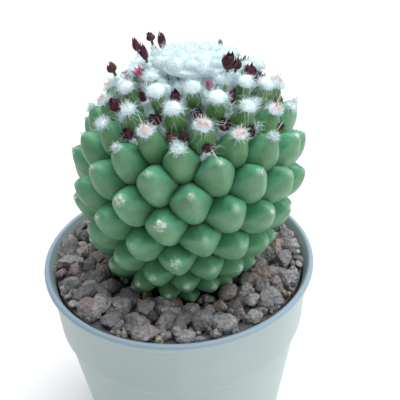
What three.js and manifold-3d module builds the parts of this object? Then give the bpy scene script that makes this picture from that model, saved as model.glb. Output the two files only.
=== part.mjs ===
// Potted Mammillaria polythele: a round cactus with a woolly crown, dried flowers in the axils
// of its young tubercles, and a gravel top dressing in a 7 cm nursery pot of thin plastic.
// Millimetres, +Z up. The origin is the middle of the pot's foot, on the surface it stands on.

import * as THREE from 'three';
import { mergeVertices } from 'three/addons/utils/BufferGeometryUtils.js';
import Module from 'manifold-3d';

const wasm = await Module();
wasm.setup();

// Pot
const POT_HEIGHT = 60;
const LIP_RADIUS = 35;
const LIP_DEPTH = 2;
const BAND_RADIUS = 33.6;
const BAND_BOTTOM = 43;
const FOOT_RADIUS = 27;
const WALL = 1.1;
const FLOOR_TOP = 3;
const FLOOR_LIFT = 1.5;
const DRAIN_HOLES = 6;
const DRAIN_RADIUS = 2.6;
const DRAIN_CIRCLE = 16;
const POT_SEGMENTS = 36;

// Fill: potting mix, then a bed of stones
const CLEARANCE = 0.3;
const SOIL_TOP = 52.5;
const BED_TOP = 55.8;
const STONE_COUNT = 148;
const STONE_LIFT_MIN = 0.15;
const STONE_LIFT_MAX = 0.5;
const STONE_FIELD_RADIUS = 30.6;
const STONE_RADIUS_MIN = 1.8;
const STONE_RADIUS_MAX = 2.9;

// Plant. Tubercles follow one golden-angle spiral that starts at the growing point.
// Their neighbours on the surface are 8 and 13 places on, which makes the two sets of spirals.
const GOLDEN_ANGLE = 137.50776405;
const FIRST_ANGLE = -89.5;
const STEP_RIGHT = 8;
const STEP_LEFT = 13;
const STEP_DOWN = STEP_RIGHT + STEP_LEFT;
const FIRST_TUBERCLE = -61;
const LAST_TUBERCLE = 80;
const SOIL_LINE = POT_HEIGHT;
const LEAN = 0.105;
const LEAN_OFFSET = 0.45;
const CROWN_LEVEL = 107.2;
const ROOT_TIP_LEVEL = 36;

// Each row: place on the spiral, radius and height of the tubercle's tip over the lip, length of
// the tubercle, how steeply it points up in degrees, its radius where its round end starts, and
// the radius of the wool tuft on its tip.
const STATIONS = [
  [-104, 1.0, 47.6, 3.0, 85, 1.0, 0.0],
  [-82, 6.4, 48.4, 4.5, 80, 1.0, 1.2],
  [-60, 10.9, 50.2, 7.0, 74, 1.3, 1.6],
  [-47, 15.1, 48.2, 8.6, 68, 1.8, 2.1],
  [-35, 19.1, 44.8, 10.0, 62, 2.6, 2.0],
  [-26, 21.5, 42.4, 11.0, 58, 3.2, 1.8],
  [-20, 22.8, 40.7, 11.5, 55, 3.6, 1.1],
  [-12, 24.9, 38.2, 12.0, 50, 3.9, 0.0],
  [12, 27.8, 26.9, 12.5, 31, 4.3, 0.0],
  [40, 25.0, 12.4, 11.0, 16, 4.0, 0.0],
  [70, 18.6, -0.8, 7.5, 3, 2.9, 0.0],
  [90, 13.0, -8.0, 5.0, -4, 2.2, 0.0],
];
const TUFT_FROM_RADIUS = 0.7;

// Spines: short and few, only on the upper tubercles
const SPINE_FIRST = -36;
const SPINE_LAST = 8;
const SPINE_LENGTH_MIN = 3;
const SPINE_LENGTH_MAX = 6;
const SPINE_ROOT_RADIUS = 0.35;
const SPINE_ROOT_DEPTH = 1.2;

// Crown wool: a lumpy cushion over the growing point
const WOOL_RADIUS = 8.9;
const WOOL_RINGS = 7;
const WOOL_SEGMENTS = 40;
const WOOL_LUMPS = 44;
const WOOL_LUMP_HEIGHT = 0.9;
const WOOL_THICKNESS = 2.6;

// Flowers, each in the axil under the tubercle whose place it names. The head's middle is lifted
// over the axil's mouth, and may stand aside from it.
const BLOOMS = [
  { axil: -53, kind: 'bud', width: 2.2, head: 2.4, lift: 4.2 },
  { axil: -56, kind: 'dried', width: 1.9, head: 2.8, lift: 4.2, aside: 2.3 },
  { axil: -74, kind: 'dried', width: 1.8, head: 3.6, lift: 3.6 },
  { axil: -69, kind: 'bud', width: 1.9, head: 2.2, lift: 4.8, aside: -1.2 },
  { axil: -77, kind: 'dried', width: 1.9, head: 3.8, lift: 3.8, aside: 1.6 },
  { axil: -48, kind: 'dried', width: 2.8, head: 2.4, lift: -0.3 },
  { axil: -66, kind: 'fresh', width: 2.6, head: 3.6, lift: 0.4 },
  { axil: -73, kind: 'dried', width: 2.8, head: 3.8, lift: 2.8, aside: -1.9 },
  { axil: -73, kind: 'bud', width: 1.9, head: 2.2, lift: 2.7, aside: 1 },
  { axil: -65, kind: 'dried', width: 2.6, head: 2.6, lift: 1 },
  { axil: -57, kind: 'dried', width: 2.3, head: 2.6, lift: -1 },
  { axil: -68, kind: 'fresh', width: 1.7, head: 2.2, lift: 0 },
  { axil: -63, kind: 'dried', width: 2.3, head: 3.4, lift: -1.5 },
  { axil: -60, kind: 'bud', width: 1.8, head: 3.8, lift: -1.5 },
  { axil: -58, kind: 'bud', width: 1.6, head: 2.8, lift: -1.5 },
  { axil: -45, kind: 'dried', width: 2.8, head: 2.8, lift: 0 },
  { axil: -50, kind: 'dried', width: 2.8, head: 2.0, lift: -3 },
  { axil: -55, kind: 'dried', width: 2.4, head: 2.4, lift: -3 },
  { axil: -47, kind: 'dried', width: 2.4, head: 2.4, lift: -3 },
  { axil: -39, kind: 'bud', width: 2.1, head: 3.2, lift: -2.5, aside: -1.2 },
  { axil: -31, kind: 'bud', width: 1.6, head: 2, lift: -3, aside: -0.8 },
  { axil: -37, kind: 'dried', width: 2.3, head: 2.2, lift: -3 },
  { axil: -42, kind: 'dried', width: 1.9, head: 2.2, lift: -3, aside: -1.3 },
  { axil: -42, kind: 'bud', width: 2.2, head: 2.4, lift: -3, aside: 1.3 },
  { axil: -34, kind: 'dried', width: 1.9, head: 1.8, lift: -3, aside: -0.5 },
  { axil: -44, kind: 'bud', width: 1.4, head: 2.0, lift: -1.5 },
  { axil: -62, kind: 'dried', width: 2.4, head: 3.0, lift: -1 },
  { axil: -67, kind: 'dried', width: 1.2, head: 1.4, lift: 2 },
  { axil: -54, kind: 'bud', width: 2.1, head: 2.8, lift: -1.5 },
  { axil: -51, kind: 'dried', width: 2.4, head: 2.6, lift: 0 },
  { axil: -46, kind: 'dried', width: 2.5, head: 2.6, lift: -1 },
  { axil: -43, kind: 'bud', width: 2.2, head: 3.0, lift: -2 },
  { axil: -38, kind: 'dried', width: 2.3, head: 2.4, lift: -2 },
  { axil: -36, kind: 'dried', width: 1.7, head: 2, lift: -3 },
  { axil: -30, kind: 'bud', width: 2.1, head: 2.6, lift: -3 },
];
const STALK_MIN = 0.6;
const STALK_STEP = 0.2;
const STALK_RADIUS = 0.3;
const BLOOM_SIDES = 6;
const FIRST_BLOOM_SEED = 101;
const SEAT_GAP = 0.3;
const SEAT_STEP = 0.1;

const MATERIALS = {
  pot: { color: 0xb9c6c9, roughness: 0.45, metalness: 0 },
  soil: { color: 0x3b3029, roughness: 1, metalness: 0 },
  gravel: { color: 0x7d736c, roughness: 0.95, metalness: 0 },
  stem: { color: 0x4f8260, roughness: 0.5, metalness: 0 },
  wool: { color: 0xe9f1f0, roughness: 1, metalness: 0 },
  dried: { color: 0x5e1c2e, roughness: 0.85, metalness: 0 },
  bud: { color: 0x452026, roughness: 0.8, metalness: 0 },
  fresh: { color: 0xd0628f, roughness: 0.6, metalness: 0 },
};

const potted = new THREE.Group();
potted.name = 'potted_mammillaria';

function addPiece(name, geometry, look) {
  const piece = new THREE.Mesh(geometry, new THREE.MeshStandardMaterial(MATERIALS[look]));
  piece.name = name;
  potted.add(piece);
  return piece;
}

// Closed geometry to solid and back, for joins, cuts and clearances.
function toSolid(geometry) {
  const bare = geometry.clone();
  bare.deleteAttribute('normal');
  bare.deleteAttribute('uv');
  const merged = mergeVertices(bare, 1e-4);
  return new wasm.Manifold(new wasm.Mesh({
    numProp: 3,
    vertProperties: new Float32Array(merged.attributes.position.array),
    triVerts: new Uint32Array(merged.index.array),
  }));
}

function toGeometry(solid) {
  const mesh = solid.getMesh();
  const geometry = new THREE.BufferGeometry();
  geometry.setAttribute('position', new THREE.BufferAttribute(new Float32Array(mesh.vertProperties), 3));
  geometry.setIndex(new THREE.BufferAttribute(new Uint32Array(mesh.triVerts), 1));
  geometry.computeVertexNormals();
  return geometry;
}

function fromTriangles(points, triangles) {
  const geometry = new THREE.BufferGeometry();
  const flat = points.flatMap((point) => [point.x, point.y, point.z]);
  geometry.setAttribute('position', new THREE.Float32BufferAttribute(flat, 3));
  geometry.setIndex(triangles.flat());
  geometry.computeVertexNormals();
  return geometry;
}

// Seeded draws, so that every run gives the same stones, spines and petals.
function randomSource(seed) {
  let state = seed;
  return (low, high) => {
    state = (state * 1664525 + 1013904223) % 4294967296;
    return low + (high - low) * state / 4294967296;
  };
}

// A turned solid about the Z axis. The profile runs anticlockwise in radius and height.
function turned(profile, segments) {
  const points = profile.map(([radius, height]) => new THREE.Vector2(radius, height));
  const geometry = new THREE.LatheGeometry(points, segments);
  geometry.rotateX(Math.PI / 2);
  return geometry;
}

// Pot: foot ring, raised floor, tapered wall, small step, straight band and rolled lip.
function potGeometry() {
  const lipBottom = POT_HEIGHT - LIP_DEPTH;
  const stepRadius = BAND_RADIUS - 1.6;
  const profile = [
    [0, FLOOR_LIFT],
    [FOOT_RADIUS - 4.2, FLOOR_LIFT],
    [FOOT_RADIUS - 3.4, 0],
    [FOOT_RADIUS - 0.6, 0],
    [FOOT_RADIUS, 0.7],
    [stepRadius, BAND_BOTTOM - 2],
    [BAND_RADIUS - 0.5, BAND_BOTTOM],
    [BAND_RADIUS, lipBottom - 0.5],
    [LIP_RADIUS - 0.3, lipBottom],
    [LIP_RADIUS, lipBottom + 0.5],
    [LIP_RADIUS, POT_HEIGHT - 0.5],
    [LIP_RADIUS - 0.4, POT_HEIGHT],
    [LIP_RADIUS - 1.1, POT_HEIGHT],
    [LIP_RADIUS - 1.5, POT_HEIGHT - 0.5],
    [BAND_RADIUS - WALL, lipBottom - 1.5],
    [BAND_RADIUS - 0.5 - WALL, BAND_BOTTOM],
    [stepRadius - WALL, BAND_BOTTOM - 2.2],
    [FOOT_RADIUS - WALL, FLOOR_TOP],
    [0, FLOOR_TOP],
  ];
  let solid = toSolid(turned(profile, POT_SEGMENTS));
  for (let hole = 0; hole < DRAIN_HOLES; hole += 1) {
    const angle = 2 * Math.PI * hole / DRAIN_HOLES;
    const drill = new THREE.CylinderGeometry(DRAIN_RADIUS, DRAIN_RADIUS, 3 * FLOOR_TOP, 12);
    drill.rotateX(Math.PI / 2);
    drill.translate(DRAIN_CIRCLE * Math.cos(angle), DRAIN_CIRCLE * Math.sin(angle), 0);
    solid = solid.subtract(toSolid(drill));
  }
  return toGeometry(solid);
}

// Value of one column of STATIONS at a place on the spiral: a cubic through the rows, with the
// slope at each row that of the line between its neighbours.
function station(column, place) {
  const last = STATIONS.length - 1;
  const slope = (row) => {
    const before = STATIONS[Math.max(row - 1, 0)];
    const after = STATIONS[Math.min(row + 1, last)];
    return (after[column] - before[column]) / (after[0] - before[0]);
  };
  let row = 0;
  while (row < last - 1 && place >= STATIONS[row + 1][0]) row += 1;
  const [start, end] = [STATIONS[row], STATIONS[row + 1]];
  const span = end[0] - start[0];
  const t = Math.min(Math.max((place - start[0]) / span, 0), 1);
  const [t2, t3] = [t * t, t * t * t];
  return (2 * t3 - 3 * t2 + 1) * start[column] + (t3 - 2 * t2 + t) * span * slope(row)
    + (3 * t2 - 2 * t3) * end[column] + (t3 - t2) * span * slope(row + 1);
}

function spiralAngle(place) {
  return THREE.MathUtils.degToRad(FIRST_ANGLE + GOLDEN_ANGLE * place);
}

function tubercleDirection(place) {
  const rise = THREE.MathUtils.degToRad(station(4, place));
  const angle = spiralAngle(place);
  const level = Math.cos(rise);
  return new THREE.Vector3(level * Math.cos(angle), level * Math.sin(angle), Math.sin(rise));
}

// The whole plant leans a little towards +X.
function leaned(point) {
  point.x += LEAN_OFFSET + LEAN * (point.z - SOIL_LINE);
  return point;
}

function tubercleTip(place) {
  const radius = station(1, place);
  const angle = spiralAngle(place);
  return leaned(new THREE.Vector3(radius * Math.cos(angle), radius * Math.sin(angle),
    SOIL_LINE + station(2, place)));
}

function tubercleRoot(place) {
  return tubercleTip(place).addScaledVector(tubercleDirection(place), -station(3, place));
}

// Middle of the four neighbours under a tubercle, at the roots or at the tips: an axil.
function axil(place, pointOf) {
  return [0, STEP_RIGHT, STEP_LEFT, STEP_DOWN]
    .map((step) => pointOf(place + step))
    .reduce((sum, point) => sum.add(point), new THREE.Vector3())
    .divideScalar(4);
}

// Rings of a tubercle from its root to its tip: how far along it, how much of the ring is round
// and not the shape of the cell, its radius as a share of the tubercle's own, and how much of the
// cell's slant it keeps. A ring with no slant is square to the tubercle's axis.
const TUBERCLE_RINGS = [[0.5, 0.85, 1, 1], [0.86, 1, 0.68, 0.4]];
const CORNER_SHARE = 1.06;
const MIDDLE_SHARE = 0.92;

// The stem is one surface. Each tubercle stands on a four-cornered cell whose edges it shares
// with its neighbours, and a fan closes the surface at the crown and at the root.
function stemGeometry() {
  const points = [];
  const triangles = [];
  const addPoint = (point) => points.push(point) - 1;
  const borders = new Map();

  // A border point is kept once: a corner is an axil, a middle lies half-way between two.
  function borderPoint(axilA, axilB) {
    const key = axilA < axilB ? `${axilA} ${axilB}` : `${axilB} ${axilA}`;
    if (!borders.has(key)) {
      const root = axil(axilA, tubercleRoot).lerp(axil(axilB, tubercleRoot), 0.5);
      borders.set(key, addPoint(root));
    }
    return borders.get(key);
  }

  for (let place = FIRST_TUBERCLE; place <= LAST_TUBERCLE; place += 1) {
    const corners = [place - STEP_DOWN, place - STEP_RIGHT, place, place - STEP_LEFT];
    const outline = corners.flatMap((corner, k) => [[corner, corner], [corner, corners[(k + 1) % 4]]]);
    const root = tubercleRoot(place);
    const tip = tubercleTip(place);
    const girth = station(5, place);
    const tuft = station(6, place);
    const direction = tubercleDirection(place);
    const ringAt = ([along, roundness, share, slant]) => outline.map(([axilA, axilB], k) => {
      const low = axil(axilA, tubercleRoot).lerp(axil(axilB, tubercleRoot), 0.5);
      const high = axil(axilA, tubercleTip).lerp(axil(axilB, tubercleTip), 0.5);
      const centre = root.clone().lerp(tip, along);
      const cell = low.lerp(high, along);
      const radius = girth * share * (k % 2 === 0 ? CORNER_SHARE : MIDDLE_SHARE);
      const spoke = cell.clone().sub(centre);
      spoke.addScaledVector(direction, (slant - 1) * spoke.dot(direction));
      return cell.lerp(spoke.setLength(radius).add(centre), roundness);
    });
    const rings = TUBERCLE_RINGS.map(ringAt);
    if (tuft > TUFT_FROM_RADIUS) rings.push(...tuftRings(tip, direction, tuft, outline.length));
    const top = tuft > TUFT_FROM_RADIUS ? tip.clone().addScaledVector(direction, 0.75 * tuft) : tip;

    let below = outline.map(([axilA, axilB]) => borderPoint(axilA, axilB));
    for (const ring of rings) {
      const above = ring.map(addPoint);
      below.forEach((corner, k) => {
        const next = (k + 1) % below.length;
        triangles.push([corner, below[next], above[next]], [corner, above[next], above[k]]);
      });
      below = above;
    }
    const peak = addPoint(top);
    below.forEach((corner, k) => triangles.push([corner, below[(k + 1) % below.length], peak]));
  }

  const crown = addPoint(leaned(new THREE.Vector3(0, 0, CROWN_LEVEL)));
  const rootTip = addPoint(leaned(new THREE.Vector3(0, 0, ROOT_TIP_LEVEL)));
  closeOpenEdges(points, triangles, crown, rootTip);
  return fromTriangles(points, triangles);
}

// Two rings of a woolly ball round a tubercle's tip, lined up with the ring under them.
function tuftRings(tip, direction, radius, sides) {
  const up = new THREE.Vector3(0, 0, 1);
  const left = direction.clone().cross(up).normalize();
  const top = left.clone().cross(direction).normalize();
  return [[-0.35, 0.95], [0.4, 0.8]].map(([along, width]) => Array.from({ length: sides }, (_, k) => {
    const turn = 2 * Math.PI * k / sides;
    return tip.clone()
      .addScaledVector(direction, along * radius)
      .addScaledVector(top, width * radius * Math.cos(turn))
      .addScaledVector(left, width * radius * Math.sin(turn));
  }));
}

// Every edge that only one triangle uses is closed to the crown or to the root tip.
function closeOpenEdges(points, triangles, crown, rootTip) {
  const open = new Map();
  for (const [a, b, c] of triangles) {
    for (const [start, end] of [[a, b], [b, c], [c, a]]) {
      if (!open.delete(`${end} ${start}`)) open.set(`${start} ${end}`, [start, end]);
    }
  }
  const middle = SOIL_LINE + station(2, 0);
  for (const [start, end] of open.values()) {
    triangles.push([end, start, points[start].z > middle ? crown : rootTip]);
  }
}

// Thin three-sided spines that stand round the tips of the upper tubercles.
function spineSolids() {
  const random = randomSource(5);
  const solids = [];
  for (let place = SPINE_FIRST; place <= SPINE_LAST; place += 1) {
    const count = random(0, 1) < 0.7 ? 1 : 0;
    for (let k = 0; k < count; k += 1) {
      const length = random(SPINE_LENGTH_MIN, SPINE_LENGTH_MAX);
      const direction = tubercleDirection(place);
      const side = new THREE.Vector3(0, 0, 1).cross(direction).normalize();
      const aim = direction.clone()
        .addScaledVector(side, random(-0.9, 0.9))
        .addScaledVector(new THREE.Vector3(0, 0, 1), random(0.2, 1.1))
        .normalize();
      const spine = new THREE.ConeGeometry(SPINE_ROOT_RADIUS, length + SPINE_ROOT_DEPTH, 3);
      spine.translate(0, (length - SPINE_ROOT_DEPTH) / 2, 0);
      spine.applyQuaternion(new THREE.Quaternion().setFromUnitVectors(new THREE.Vector3(0, 1, 0), aim));
      const foot = tubercleTip(place).addScaledVector(direction, -0.4);
      spine.translate(foot.x, foot.y, foot.z);
      solids.push(toSolid(spine));
    }
  }
  return solids;
}

function joined(solids) {
  let round = solids;
  while (round.length > 1) {
    const next = [];
    for (let k = 0; k < round.length; k += 2) {
      next.push(k + 1 < round.length ? round[k].add(round[k + 1]) : round[k]);
    }
    round = next;
  }
  return round[0];
}

// Half-width of the stem near the soil at a height, for the pit that it stands in.
function pitRadius(height) {
  const reach = 2.6;
  let widest = 0;
  for (let place = 30; place <= 90; place += 1) {
    const above = tubercleTip(place).z - height;
    if (above < reach) widest = Math.max(widest, station(1, place));
  }
  return widest + 0.9;
}

// Potting mix: fills the pot to the bed of stones, round the pit of the stem's neck.
function soilGeometry() {
  const wall = WALL + CLEARANCE;
  const stepRadius = BAND_RADIUS - 1.6;
  const low = FLOOR_TOP + CLEARANCE;
  return turned([
    [0, low],
    [FOOT_RADIUS - wall, low],
    [stepRadius - wall - 0.1, BAND_BOTTOM - 2.2],
    [BAND_RADIUS - 0.6 - wall, BAND_BOTTOM + 0.2],
    [BAND_RADIUS - 0.4 - wall, SOIL_TOP],
    [pitRadius(SOIL_TOP), SOIL_TOP],
    [pitRadius(SOIL_TOP) - 1.2, SOIL_TOP - 3.5],
    [0, ROOT_TIP_LEVEL - 2.5],
  ], POT_SEGMENTS);
}

// One stone: an icosahedron pushed out of shape, flattened and turned.
function stoneGeometry(random, radius) {
  const stone = new THREE.IcosahedronGeometry(radius, 0);
  stone.deleteAttribute('normal');
  stone.deleteAttribute('uv');
  const merged = mergeVertices(stone, 1e-4);
  const position = merged.attributes.position;
  for (let k = 0; k < position.count; k += 1) {
    const bulge = random(0.82, 1.16);
    position.setXYZ(k, position.getX(k) * bulge, position.getY(k) * bulge, position.getZ(k) * bulge);
  }
  merged.scale(random(0.95, 1.2), random(0.8, 1), random(0.7, 0.9));
  merged.rotateX(random(-0.6, 0.6));
  merged.rotateY(random(-0.6, 0.6));
  merged.rotateZ(random(0, 2 * Math.PI));
  return merged;
}

// Bed of stones: a ring with stones sunk into it along a sunflower spiral, trimmed to the pot.
function gravelGeometry(plant) {
  const random = randomSource(11);
  const bedBottom = SOIL_TOP + CLEARANCE;
  const outer = BAND_RADIUS - WALL - CLEARANCE - 0.2;
  const solids = [toSolid(turned([
    [pitRadius(bedBottom), bedBottom],
    [outer, bedBottom],
    [outer, BED_TOP],
    [pitRadius(BED_TOP), BED_TOP],
    [pitRadius(bedBottom), bedBottom],
  ], POT_SEGMENTS))];
  for (let k = 0; k < STONE_COUNT; k += 1) {
    const ring = STONE_FIELD_RADIUS * Math.sqrt((k + 0.5) / STONE_COUNT);
    const angle = THREE.MathUtils.degToRad(GOLDEN_ANGLE * k + random(-3, 3));
    const radius = random(STONE_RADIUS_MIN, STONE_RADIUS_MAX);
    const stone = stoneGeometry(random, radius);
    const level = BED_TOP + radius * random(STONE_LIFT_MIN, STONE_LIFT_MAX);
    const placed = placeStone(toSolid(stone), Math.min(ring, outer - radius), angle, level, plant);
    if (placed) solids.push(placed);
  }
  const top = POT_HEIGHT + 4;
  const trim = toSolid(turned([[0, bedBottom], [outer, bedBottom], [outer, top], [0, top]], POT_SEGMENTS));
  const bed = joined(solids).intersect(trim);
  return toGeometry(bed.decompose().sort((a, b) => b.volume() - a.volume())[0]);
}

// A stone beside the plant is moved outwards until it is clear of it. One that lies under it is
// left out.
function placeStone(stone, ring, angle, level, plant) {
  if (ring < pitRadius(BED_TOP) - STONE_RADIUS_MIN) return null;
  for (let out = 0; out < STONE_RADIUS_MAX; out += 4 * SEAT_STEP) {
    const reach = ring + out;
    const placed = stone.translate([reach * Math.cos(angle), reach * Math.sin(angle), level]);
    const isSunk = reach > pitRadius(BED_TOP) - 0.5 * STONE_RADIUS_MIN;
    if (isSunk && placed.minGap(plant, 1) > SEAT_GAP) return placed;
  }
  return null;
}

// Height of the wool's top over its middle plane: a low dome with round lumps.
function woolTop(x, y) {
  const edge = Math.min(Math.hypot(x, y) / WOOL_RADIUS, 1);
  let lump = 0;
  for (let k = 0; k < WOOL_LUMPS; k += 1) {
    const ring = (WOOL_RADIUS - 0.6) * Math.sqrt((k + 0.5) / WOOL_LUMPS);
    const angle = THREE.MathUtils.degToRad(GOLDEN_ANGLE * k);
    const away = Math.hypot(x - ring * Math.cos(angle), y - ring * Math.sin(angle));
    lump = Math.max(lump, 1 - (away / 1.5) ** 2);
  }
  return WOOL_THICKNESS * Math.sqrt(1 - 0.8 * edge ** 4) + WOOL_LUMP_HEIGHT * lump;
}

function woolGeometry() {
  const points = [];
  const triangles = [];
  const level = SOIL_LINE + station(2, -82) + 0.9;
  const addPoint = (x, y, height) => points.push(leaned(new THREE.Vector3(x, y, level + height))) - 1;
  const ring = (radius, heightAt) => Array.from({ length: WOOL_SEGMENTS }, (_, k) => {
    const angle = 2 * Math.PI * k / WOOL_SEGMENTS;
    const [x, y] = [radius * Math.cos(angle), radius * Math.sin(angle)];
    return addPoint(x, y, heightAt(x, y));
  });
  const bottom = addPoint(0, 0, 0);
  const rings = [ring(0.5 * WOOL_RADIUS, () => 0), ring(0.93 * WOOL_RADIUS, () => 0.5)];
  for (let k = 0; k < WOOL_RINGS; k += 1) {
    rings.push(ring(WOOL_RADIUS * (1 - k / WOOL_RINGS), woolTop));
  }
  const peak = addPoint(0, 0, woolTop(0, 0));
  rings[0].forEach((point, k) => {
    triangles.push([bottom, rings[0][(k + 1) % WOOL_SEGMENTS], point]);
  });
  for (let row = 0; row < rings.length - 1; row += 1) {
    const [inner, outer] = [rings[row], rings[row + 1]];
    inner.forEach((point, k) => {
      const next = (k + 1) % WOOL_SEGMENTS;
      triangles.push([point, inner[next], outer[next]], [point, outer[next], outer[k]]);
    });
  }
  rings[rings.length - 1].forEach((point, k) => {
    triangles.push([point, rings[rings.length - 1][(k + 1) % WOOL_SEGMENTS], peak]);
  });
  return fromTriangles(points, triangles);
}

// A flower about its own axis, with the middle of its head at the origin: rings of radius and
// height as shares of the head's width and height, over a thin stalk, with every other point of
// the crown drawn out to a petal tip.
const HEAD_SHAPES = {
  dried: { rings: [[0.2, 0], [0.46, 0.22], [0.5, 0.6]], tips: [0.36, 1], notch: [0.2, 0.72], throat: 0.6 },
  bud: { rings: [[0.2, 0], [0.48, 0.28], [0.42, 0.66]], tips: [0.08, 1], notch: [0.16, 0.86], throat: 0.74 },
  fresh: { rings: [[0.16, 0], [0.24, 0.3], [0.4, 0.68]], tips: [0.5, 1], notch: [0.2, 0.72], throat: 0.58 },
};

function bloomGeometry(bloom, stalk, random) {
  const shape = HEAD_SHAPES[bloom.kind];
  const points = [];
  const triangles = [];
  const addPoint = (x, y, z) => points.push(new THREE.Vector3(x, y, z)) - 1;
  const ring = (at) => Array.from({ length: BLOOM_SIDES }, (_, k) => {
    const [radius, height] = at(k);
    const angle = 2 * Math.PI * k / BLOOM_SIDES;
    const spread = radius * random(0.9, 1.08);
    return addPoint(spread * Math.cos(angle), spread * Math.sin(angle), height);
  });
  const inHead = ([width, height]) => [width * bloom.width, (height - 0.5) * bloom.head];
  const footHeight = -0.5 * bloom.head - stalk;
  const rings = [ring(() => [STALK_RADIUS, footHeight])];
  for (const pair of shape.rings) rings.push(ring(() => inHead(pair)));
  rings.push(ring((k) => inHead(k % 2 === 0 ? shape.tips : shape.notch)));
  const foot = addPoint(0, 0, footHeight);
  rings[0].forEach((point, k) => triangles.push([foot, rings[0][(k + 1) % BLOOM_SIDES], point]));
  for (let row = 0; row < rings.length - 1; row += 1) {
    rings[row].forEach((point, k) => {
      const next = (k + 1) % BLOOM_SIDES;
      const [above, aboveNext] = [rings[row + 1][k], rings[row + 1][next]];
      triangles.push([point, rings[row][next], aboveNext], [point, aboveNext, above]);
    });
  }
  const throat = addPoint(0, 0, inHead([0, shape.throat])[1]);
  const crown = rings[rings.length - 1];
  crown.forEach((point, k) => triangles.push([point, crown[(k + 1) % BLOOM_SIDES], throat]));
  return fromTriangles(points, triangles);
}

// A flower stands in its axil at its own height, or as much higher as its neighbours make it, and
// its stalk reaches down until it is as near to the plant as it can be.
function seatBloom(bloom, seed, neighbours) {
  const direction = [0, STEP_RIGHT, STEP_LEFT, STEP_DOWN]
    .map((step) => tubercleDirection(bloom.axil + step))
    .reduce((sum, each) => sum.add(each), new THREE.Vector3())
    .normalize();
  const right = new THREE.Vector3(0, 0, 1).cross(direction).normalize();
  const mouth = axil(bloom.axil, tubercleTip).addScaledVector(right, bloom.aside ?? 0);
  const turn = new THREE.Quaternion().setFromUnitVectors(new THREE.Vector3(0, 0, 1), direction);
  const placed = (lift, stalk) => {
    const spot = mouth.clone().addScaledVector(direction, lift);
    const geometry = bloomGeometry(bloom, stalk, randomSource(seed)).applyQuaternion(turn);
    return geometry.translate(spot.x, spot.y, spot.z);
  };
  const isClear = (geometry) => {
    const solid = toSolid(geometry);
    return neighbours.every((other) => solid.minGap(other, 1) > SEAT_GAP);
  };
  let lift = bloom.lift;
  while (!isClear(placed(lift, STALK_MIN))) lift += SEAT_STEP;
  let stalk = STALK_MIN;
  while (isClear(placed(lift, stalk + STALK_STEP))) stalk += STALK_STEP;
  return placed(lift, stalk);
}

const stem = joined([toSolid(stemGeometry()), ...spineSolids()]);
const wool = toSolid(woolGeometry());

addPiece('pot', potGeometry(), 'pot');
addPiece('soil', soilGeometry(), 'soil');
addPiece('gravel', gravelGeometry(stem), 'gravel');
addPiece('stem', toGeometry(stem), 'stem');
addPiece('crown_wool', toGeometry(wool), 'wool');

const seated = [stem, wool];
BLOOMS.forEach((bloom, k) => {
  const geometry = seatBloom(bloom, FIRST_BLOOM_SEED + k, seated);
  seated.push(toSolid(geometry));
  addPiece(`bloom_${bloom.kind}_${String(k + 1).padStart(2, '0')}`, geometry, bloom.kind);
});

export default potted;
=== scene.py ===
# Mammillaria polythele in a small nursery pot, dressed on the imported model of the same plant.
# The sections work in millimetres, and each mesh is brought to metres where it is made.

import math

import bmesh
import bpy
import numpy as np
from mathutils import Matrix, Vector


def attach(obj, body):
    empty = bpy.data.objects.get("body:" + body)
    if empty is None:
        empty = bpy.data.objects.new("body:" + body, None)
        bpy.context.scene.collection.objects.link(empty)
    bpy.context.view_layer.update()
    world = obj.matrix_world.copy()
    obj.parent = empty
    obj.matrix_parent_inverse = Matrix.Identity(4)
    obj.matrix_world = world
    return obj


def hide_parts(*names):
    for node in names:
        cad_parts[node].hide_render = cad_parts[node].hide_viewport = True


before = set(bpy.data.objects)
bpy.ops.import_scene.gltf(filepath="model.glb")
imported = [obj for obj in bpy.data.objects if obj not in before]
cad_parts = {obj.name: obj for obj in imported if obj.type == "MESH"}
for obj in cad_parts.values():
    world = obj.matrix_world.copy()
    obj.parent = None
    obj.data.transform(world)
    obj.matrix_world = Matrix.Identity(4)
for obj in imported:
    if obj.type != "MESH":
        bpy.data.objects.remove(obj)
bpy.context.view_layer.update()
MM = 0.001


# Pot: a tapered nursery pot of thin pale grey-blue polypropylene, injection moulded in one piece.
# It has a rolled lip, a straight band under it, a small step and a foot ring with drain holes.
POT_HEIGHT = 60.0
POT_SIDES = 144
LIP_RADIUS = 35.0
BAND_RADIUS = 33.6
WALL = 1.1
BAND_BOTTOM = 43.0
FOOT_RADIUS = 27.0
STEP_RADIUS = BAND_RADIUS - 1.6
DRAIN_HOLES = 6
DRAIN_RADIUS = 2.6
DRAIN_CIRCLE = 16.0
CORNER_REACH = 0.45
POT_PROFILE = np.array([
    [0, 1.5],
    [FOOT_RADIUS - 4.2, 1.5],
    [FOOT_RADIUS - 3.4, 0],
    [FOOT_RADIUS - 0.6, 0],
    [FOOT_RADIUS, 0.7],
    [STEP_RADIUS, BAND_BOTTOM - 2],
    [BAND_RADIUS - 0.5, BAND_BOTTOM],
    [BAND_RADIUS, POT_HEIGHT - 2.5],
    [LIP_RADIUS - 0.3, POT_HEIGHT - 2],
    [LIP_RADIUS, POT_HEIGHT - 1.4],
    [LIP_RADIUS, POT_HEIGHT - 0.5],
    [LIP_RADIUS - 0.4, POT_HEIGHT],
    [LIP_RADIUS - 1.1, POT_HEIGHT],
    [LIP_RADIUS - 1.5, POT_HEIGHT - 0.5],
    [BAND_RADIUS - WALL, POT_HEIGHT - 3.5],
    [BAND_RADIUS - 0.5 - WALL, BAND_BOTTOM],
    [STEP_RADIUS - WALL, BAND_BOTTOM - 2.2],
    [FOOT_RADIUS - WALL, 3],
    [0, 3],
])


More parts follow.
